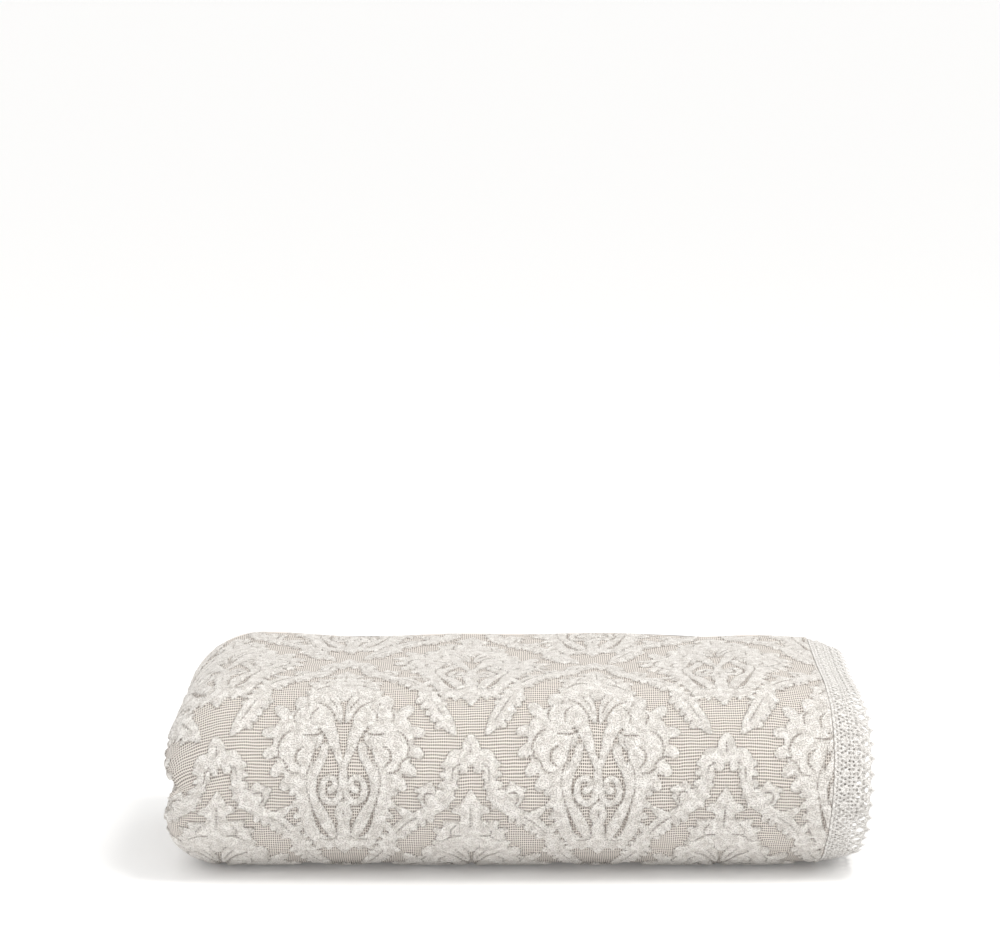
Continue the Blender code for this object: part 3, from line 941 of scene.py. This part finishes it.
def inside(point, rim):
    """True inside a closed line."""
    odd = False
    for a, b in zip(rim, rim[1:] + rim[:1]):
        if (a[1] > point[1]) != (b[1] > point[1]):
            if point[0] < a[0] + (b[0] - a[0]) * (point[1] - a[1]) / (b[1] - a[1]):
                odd = not odd
    return odd


def scallop(along):
    """How far across the lace's outer edge lies, in millimetres."""
    share = abs(along / (LACE_REPEAT / MM) * 2 - 1)
    return LACE_WIDTH / MM - EDGE_DIP * (1 - (1 - share)**2)


def in_hole(point, rims):
    """True inside any of the holes."""
    return any(inside(point, rim) for rim in rims)


def lace_points(edge, rims, cut):
    """Points of one repeat, and the lines between them that its mesh has to keep."""
    repeat = LACE_REPEAT / MM
    sides = [
        y for y in np.arange(0, scallop(0) - END_MARGIN, LACE_POINTS)
        if all(abs(y - hole["across"]) > hole["half_across"] + CUT_MARGIN for hole in cut)
    ]
    points = [(x, y) for x in (0.0, repeat) for y in sides]
    first = len(points)
    points += edge + [(repeat * i / SEWN_STEPS, 0.0) for i in range(1, SEWN_STEPS)]
    lines = [(first + i, first + i + 1) for i in range(EDGE_STEPS)]
    for rim in rims:
        kept = {}
        for i, (x, y) in enumerate(rim):
            if -SLACK <= x <= repeat + SLACK:
                kept[i] = len(points)
                points.append((min(max(x, 0.0), repeat), y))
        pairs = [(i, (i + 1) % len(rim)) for i in range(len(rim))]
        lines += [(kept[i], kept[j]) for i, j in pairs if i in kept and j in kept]
    for i in range(1, int(LACE_WIDTH / MM / LACE_POINTS) + 1):
        for j in range(int(repeat / LACE_POINTS) + 1):
            x, y = (j + (0.5 if i % 2 else 1.0)) * LACE_POINTS * NET_SQUEEZE, i * LACE_POINTS
            near_edge = x > repeat - EDGE_MARGIN or y > scallop(x) - EDGE_MARGIN
            if near_edge or in_hole((x, y), rims) or rim_distance((x, y), rims) < HOLE_MARGIN:
                continue
            points.append((x, y))
    return points, lines


def lace_unit():
    """One repeat of the lace, flat: points in millimetres, triangles, and each point's height."""
    repeat = LACE_REPEAT / MM
    holes = [row(HOLE_COLUMNS, values) for values in HOLES]
    cut = [hole for hole in holes if hole["along"] == 0]
    rims = [hole_corners(hole) for hole in holes]
    rims += [[(x + repeat, y) for x, y in hole_corners(hole)] for hole in cut]
    edge = [(x, scallop(x)) for x in (repeat * i / EDGE_STEPS for i in range(EDGE_STEPS + 1))]
    points, lines = lace_points(edge, rims, cut)
    flat, _, triangles, _, _, _ = delaunay_2d_cdt(points, lines, [], 0, 1e-5)
    border = edge + [(repeat, 0.0), (0.0, 0.0)]
    kept = []
    for corners in triangles:
        middle = tuple(sum(flat[i][k] for i in corners) / 3 for k in (0, 1))
        if inside(middle, border) and not in_hole(middle, rims):
            kept.append(corners)
    used = sorted({i for corners in kept for i in corners})
    renamed = {old: new for new, old in enumerate(used)}
    flat = [tuple(flat[i]) for i in used]
    kept = [tuple(renamed[i] for i in corners) for corners in kept]
    high = []
    for x, y in flat:
        from_edge = min(rim_distance((x, y), rims), abs(scallop(x) - y) + EDGE_BODY)
        high.append(LACE_RIM + LACE_CORD * float(fade(from_edge / ROUNDING)))
    return flat, kept, high


def lace_shape():
    """The repeat's places and faces: both sides and the walls of its holes and edges, open at its
    ends."""
    flat, triangles, high = lace_unit()
    repeat = LACE_REPEAT / MM
    count = len(flat)
    places = [(x * MM, y * MM, z) for (x, y), z in zip(flat, high)]
    places += [(x * MM, y * MM, -z) for (x, y), z in zip(flat, high)]
    edges = {(t[i], t[(i + 1) % 3]) for t in triangles for i in range(3)}
    faces = list(triangles)
    faces += [(a + count, c + count, b + count) for a, b, c in triangles]
    for a, b in sorted(edges):
        at_end = any(all(abs(flat[i][0] - end) < SLACK for i in (a, b)) for end in (0.0, repeat))
        if (b, a) not in edges and not at_end:
            faces.append((a + count, b + count, b, a))
    return places, faces


def row_of(name, shape, count, pitch, joined=False):
    """A straight row of one shape, given as its places and faces, as one mesh."""
    places, faces = shape
    places = np.array(places)
    rows = [places + (k * pitch, 0.0, 0.0) for k in range(count)]
    faces = [[i + k * len(places) for i in face] for k in range(count) for face in faces]
    return closed_mesh(name, np.vstack(rows), faces, joined)


def lace_cells():
    """Lengths of the lace's repeats along the path; a tight turn holds one drawn-in repeat."""
    cells = []
    stretch = 0.0
    for segment in SEGMENTS:
        length = length_at(segment, SHEET_PITCH)
        if segment["kind"] == "turn" and length / math.pi < TIGHT_RADIUS:
            count = round(stretch / LACE_REPEAT)
            cells += [stretch / count] * count + [length]
            stretch = 0.0
        else:
            stretch += length
    count = round(stretch / LACE_REPEAT)
    return cells + [stretch / count] * count


def sewn_along(distances, across, over):
    """Places along the path, at an X from the hem and a height over the outer sheet."""
    lengths = np.array([length_at(segment, SHEET_PITCH) for segment in SEGMENTS])
    ends = np.cumsum(lengths)
    which = np.minimum(np.searchsorted(ends, distances), len(SEGMENTS) - 1)
    shares = np.clip((distances - (ends - lengths)[which]) / lengths[which], 0, 1)
    passed = zip(which.tolist(), shares.tolist())
    frames = frame_columns([frame_at(SEGMENTS[k], share) for k, share in passed])
    return placed(frames, HEM + frames["right_out"] + across, SHEET_PITCH + over)


def make_lace(shift, finish):
    """The lace edging: one crochet repeat set in a row, then bent along the outer hem."""
    cells = lace_cells()
    mesh = row_of("lace_edging_crochet", lace_shape(), len(cells), LACE_REPEAT, joined=True)
    flat = vertex_array(mesh, "places")
    cell = np.clip(flat[:, 0] / LACE_REPEAT, 0, len(cells) - SLACK)
    whole = cell.astype(int)
    starts = np.concatenate(([0.0], np.cumsum(cells)))
    distances = starts[whole] + (cell - whole) * np.array(cells)[whole]
    outward = flat[:, 1] / LACE_WIDTH
    along, down = flat[:, 0] / MM + RUFFLE_SHIFT, flat[:, 1] / MM * RUFFLE_LENGTHENED
    ruffle = LACE_RUFFLE * outward**2 * noise(along, down, RUFFLE_SIZE, RUFFLE_SEED)
    across = SEWN_GAP + flat[:, 1] * (1 - SEWN_GAP / LACE_WIDTH)
    set_places(mesh, sewn_along(distances, across, flat[:, 2] + ruffle) - shift)
    mesh.set_sharp_from_angle(angle=math.radians(SHARP_LACE))
    point_values(mesh, "lace_place", flat / MM)
    return add_piece("lace_edging_crochet", mesh, finish)


def stitch_shape():
    """One sewing stitch: a short thread that dips at both ends."""
    places, faces = [], []
    for i in range(STITCH_RINGS):
        share = i / (STITCH_RINGS - 1)
        arch = math.sin(math.pi * share)
        radius = STITCH_RADIUS * (STITCH_TIP + (1 - STITCH_TIP) * arch)
        lift = STITCH_RADIUS * (STITCH_LIFT * arch - STITCH_DIP)
        for k in range(STITCH_SIDES):
            angle = 2 * math.pi * k / STITCH_SIDES
            y, z = radius * math.cos(angle), lift + radius * math.sin(angle)
            places.append((STITCH_LENGTH * (share - 0.5), y, z))
    rings = np.arange(len(places)).reshape(STITCH_RINGS, STITCH_SIDES)
    for near, far in zip(rings, rings[1:]):
        faces += np.stack((near, np.roll(near, -1), np.roll(far, -1), far), 1).tolist()
    faces += [rings[0].tolist(), rings[-1].tolist()]
    return places, faces


def make_stitches(shift, finish):
    """The row of stitches that holds the lace to the hem."""
    length = sum(length_at(segment, SHEET_PITCH) for segment in SEGMENTS)
    count = int(length / STITCH_PITCH)
    mesh = row_of("hem_stitches", stitch_shape(), count, STITCH_PITCH)
    flat = vertex_array(mesh, "places")
    distances = np.clip(flat[:, 0] + STITCH_PITCH / 2, 0, length)
    over = flat[:, 2] + HALF_SHEET + STITCH_OVER
    sewn = sewn_along(distances, STITCH_INSET + flat[:, 1], over) - shift
    sewn[:, 2] = np.maximum(sewn[:, 2], 0.0)
    set_places(mesh, sewn)
    return add_piece("hem_stitches", mesh, finish)


class Value:
    """A number in a finish, so that shader maths is written as an expression."""

    def __init__(self, finish, socket):
        self.finish = finish
        self.socket = socket

    def __add__(self, other):
        return self.finish.maths("ADD", self, other)

    def __sub__(self, other):
        return self.finish.maths("SUBTRACT", self, other)

    def __rsub__(self, other):
        return self.finish.maths("SUBTRACT", other, self)

    def __mul__(self, other):
        return self.finish.maths("MULTIPLY", self, other)

    __radd__ = __add__
    __rmul__ = __mul__


class Finish:
    """A cloth finish, built up node by node."""

    def __init__(self, name, roughness, sheen):
        self.material = bpy.data.materials.new(name)
        self.material.use_nodes = True
        self.tree = self.material.node_tree
        self.shader = self.tree.nodes["Principled BSDF"]
        self.shader.inputs["Roughness"].default_value = roughness
        self.shader.inputs["Specular IOR Level"].default_value = 0.2
        self.shader.inputs["Sheen Weight"].default_value = sheen
        self.shader.inputs["Sheen Roughness"].default_value = 0.6

    def node(self, kind, settings=None, inputs=None, output=0):
        """One node: its settings, its sockets' values or links, and which of its outputs."""
        made = self.tree.nodes.new(kind)
        for name, value in (settings or {}).items():
            setattr(made, name, value)
        for name, value in (inputs or {}).items():
            self.put(made.inputs[name], value)
        return Value(self, made.outputs[output])

    def put(self, socket, value):
        """A value or a link into a socket."""
        if isinstance(value, Value):
            self.tree.links.new(value.socket, socket)
        else:
            socket.default_value = value

    def maths(self, operation, *values):
        """A sum of numbers in the finish."""
        return self.node("ShaderNodeMath", {"operation": operation}, dict(enumerate(values)))

    def sine(self, value):
        """The sine of a number."""
        return self.maths("SINE", value)

    def reading(self, name, output="Fac"):
        """A value that each point of the piece carries."""
        return self.node("ShaderNodeAttribute", {"attribute_name": name}, output=output)

    def parts(self, vector, name):
        """One part of a vector."""
        return self.node("ShaderNodeSeparateXYZ", inputs={"Vector": vector}, output=name)

    def step(self, value, low, high):
        """A smooth step from 0 at low to 1 at high."""
        settings = {"interpolation_type": "SMOOTHSTEP"}
        inputs = {"Value": value, "From Min": low, "From Max": high}
        return self.node("ShaderNodeMapRange", settings, inputs)

    def rough(self, vector, scale, detail=2.0):
        """Noise from about 0 to 1."""
        inputs = {"Vector": vector, "Scale": scale, "Detail": detail, "Roughness": 0.6}
        return self.node("ShaderNodeTexNoise", inputs=inputs, output="Fac")

    def cells(self, vector, scale):
        """Distance in a pattern of round cells."""
        inputs = {"Vector": vector, "Scale": scale}
        return self.node("ShaderNodeTexVoronoi", inputs=inputs, output="Distance")

    def blend(self, factor, first, second):
        """A colour between two."""
        inputs = {0: factor, 6: first, 7: second}
        return self.node("ShaderNodeMix", {"data_type": "RGBA"}, inputs, 2)

    def dye(self, colour):
        """Gives the finish its colour."""
        self.put(self.shader.inputs["Base Color"], colour)

    def bump(self, height, strength):
        """Fine relief, whose height is in millimetres."""
        inputs = {"Height": height, "Strength": strength, "Distance": MM}
        made = self.node("ShaderNodeBump", inputs=inputs)
        self.put(self.shader.inputs["Normal"], made)


def woven_finish():
    """Cream cloth: ribs of white weft over an open ground, and raised loops in the damask, with
    painted shade in the ground's gaps, in the loops' pits, along the sunk lines and round the
    damask's edges.
    """
    cloth = Finish("woven_cream", 0.95, 0.12)
    place = cloth.reading("cloth_place", "Vector")
    across, along = cloth.parts(place, "X"), cloth.parts(place, "Y")
    right = cloth.reading("right_side")
    wander = cloth.rough(place, 0.05, 1.0) - 0.5
    edge = cloth.reading("damask") + (cloth.rough(place, 0.5, 3.0) - 0.5) * EDGE_WANDER
    line = cloth.reading("sunk_line") + (cloth.rough(place, 0.5) - 0.5) * LINE_WANDER
    line = cloth.step(line, 1.1, -0.2)
    raised = cloth.step(edge, 0.4, -0.4) * (1 - line * 0.85)
    loops = 1 - cloth.cells(place, LOOPS_PER_MM) * 1.6
    clumps = cloth.rough(place, 0.12, 2.0)
    # pits: small hollows between the loops, sunk in the bump and darkened below with painted shade
    pits = cloth.step(cloth.rough(place, 0.70, 2.0) - clumps * 0.20, 0.40, 0.48)
    ribs = (along + wander * RIB_WANDER) * (2 * math.pi / RIB_PITCH)
    rib = cloth.sine(ribs) * 0.5 + 0.5
    threads = (across + wander * THREAD_WANDER) * (2 * math.pi / THREAD_PITCH)
    thread = cloth.sine(threads) * 0.5 + 0.5
    uneven = cloth.rough(place, 0.4, 2.0)
    # the open gaps between ribs and threads, darkened below with painted shade
    shaded_gaps = (1 - rib) * (1 - thread) * (uneven * 1.2 + 0.4)
    ground = cloth.blend(cloth.step(1 - rib, 0.30, 0.75), GROUND_RIB, GROUND_THREAD)
    ground = cloth.blend(cloth.step(shaded_gaps, 0.10, 0.50), ground, GROUND_GAP_SHADE)
    motif = cloth.blend(cloth.step(clumps, 0.35, 0.65), MOTIF_LOW, MOTIF_HIGH)
    # painted shade in the pits between the loops
    motif = cloth.blend(pits * 0.60, motif, MOTIF_PIT_SHADE)
    # painted shadow: a ragged dark outline just round the damask's edge
    rim = cloth.step(edge, -1.0, 0.1) * cloth.step(edge, 2.0, 0.5) * cloth.step(uneven, 0.42, 0.60)
    face = cloth.blend(raised, ground, motif)
    face = cloth.blend(rim * 0.6, face, MOTIF_GROOVE_SHADE)
    # painted shade along the sunk lines, patchy
    face = cloth.blend(line * (uneven * 2.4 - 0.75), face, MOTIF_GROOVE_SHADE)
    cloth.dye(cloth.blend(right, WRONG_SIDE, face))
    weave = (rib * 0.30 + thread * 0.15) * (1 - raised)
    curls = (loops * 0.8 - pits * 0.7) * raised
    cloth.bump(weave + curls + raised * 0.7, 1.0)
    return cloth.material


def lace_finish():
    """Off-white crochet thread, crossed in small diamonds, with painted shade in the diamonds'
    holes, between the knots and in random patches.
    """
    lace = Finish("lace_white", 0.92, 0.2)
    place = lace.reading("lace_place", "Vector")
    along, across = lace.parts(place, "X"), lace.parts(place, "Y")
    rising = lace.sine((along + across) * (math.pi / LATTICE_PITCH))
    falling = lace.sine((along - across) * (math.pi / LATTICE_PITCH))
    holes = lace.step(rising * rising * falling * falling, 0.20, 0.75)
    shade = lace.rough(place, 0.8, 3.0)
    knots = lace.cells(place, 0.95)
    # painted shade between the raised knots, in random patches and in the diamond holes
    colour = lace.blend(lace.step(knots, 0.30, 0.62) * 0.7, LACE_LIGHT, LACE_SHADE)
    colour = lace.blend(lace.step(shade, 0.52, 0.68) * 0.5, colour, LACE_SHADE)
    colour = lace.blend(holes * (shade * 1.2), colour, LACE_SHADE)
    lace.dye(colour)
    lace.bump((1 - knots) * 0.4 - holes * 0.4 + shade * 0.3, 0.8)
    return lace.material


def thread_finish():
    """White sewing thread."""
    thread = Finish("sewing_thread", 0.75, 0.1)
    place = thread.node("ShaderNodeTexCoord", output="Object")
    twist = thread.rough(place, 2500.0, 1.0)
    thread.dye(thread.blend(twist, LACE_LIGHT, THREAD_SHADE))
    thread.bump(twist * 0.1, 0.5)
    return thread.material


def floor_finish():
    """Plain pale floor."""
    plain = Finish("pale_floor", 0.9, 0.0)
    place = plain.node("ShaderNodeTexCoord", output="Object")
    plain.dye(plain.blend(plain.rough(place, 3.0) * 0.1, FLOOR_COLOUR, FLOOR_SHADE))
    plain.shader.inputs["Emission Color"].default_value = (1.0, 1.0, 1.0, 1.0)
    plain.shader.inputs["Emission Strength"].default_value = FLOOR_GLOW
    return plain.material


def add_floor():
    """The floor that the pile stands on."""
    mesh = bpy.data.meshes.new("floor")
    half = FLOOR_SIZE / 2
    corners = [(-half, -half, 0), (half, -half, 0), (half, half, 0), (-half, half, 0)]
    mesh.from_pydata(corners, [], [(0, 1, 2, 3)])
    add_piece("floor", mesh, floor_finish())


def add_lights():
    """Two soft lamps and a pale sky."""
    for values in LIGHTS:
        spec = row(LIGHT_COLUMNS, values)
        lamp = bpy.data.lights.new(spec["name"], "AREA")
        lamp.shape = "DISK"
        lamp.size = spec["size"]
        lamp.energy = spec["watts"]
        lamp.color = spec["colour"]
        made = bpy.data.objects.new(spec["name"], lamp)
        made.location = spec["place"]
        way = np.subtract(LIGHT_AIM, spec["place"])
        tilt = math.atan2(math.hypot(way[0], way[1]), -way[2])
        made.rotation_euler = (tilt, 0.0, math.atan2(way[1], way[0]) - math.pi / 2)
        bpy.context.scene.collection.objects.link(made)
    world = bpy.data.worlds.new("studio")
    world.use_nodes = True
    world.node_tree.nodes["Background"].inputs["Color"].default_value = (*SKY_COLOUR, 1.0)
    world.node_tree.nodes["Background"].inputs["Strength"].default_value = SKY_STRENGTH
    bpy.context.scene.world = world
    bpy.context.scene.view_settings.view_transform = "Standard"


def add_camera():
    """The camera, in front of the pile and a little over it."""
    view = bpy.data.cameras.new("camera")
    view.lens = LENS
    view.sensor_width = SENSOR
    view.clip_end = VIEW_REACH
    made = bpy.data.objects.new("camera", view)
    made.location = CAMERA_PLACE
    made.rotation_euler = (math.radians(90 - CAMERA_DOWN), 0.0, 0.0)
    bpy.context.scene.collection.objects.link(made)
    bpy.context.scene.camera = made


def main():
    """Makes the pieces, ties them to the part's solids and sets the stage."""
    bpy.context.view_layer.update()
    shift = np.array(PILE_CENTRE)
    add_camera()
    panel = make_panel(shift, woven_finish())
    lace = make_lace(shift, lace_finish())
    stitches = make_stitches(shift, thread_finish())
    for piece in (panel, lace, stitches):
        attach(piece, "root")
    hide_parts("bedspread_panel")
    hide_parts("lace_edging")
    add_floor()
    add_lights()


main()
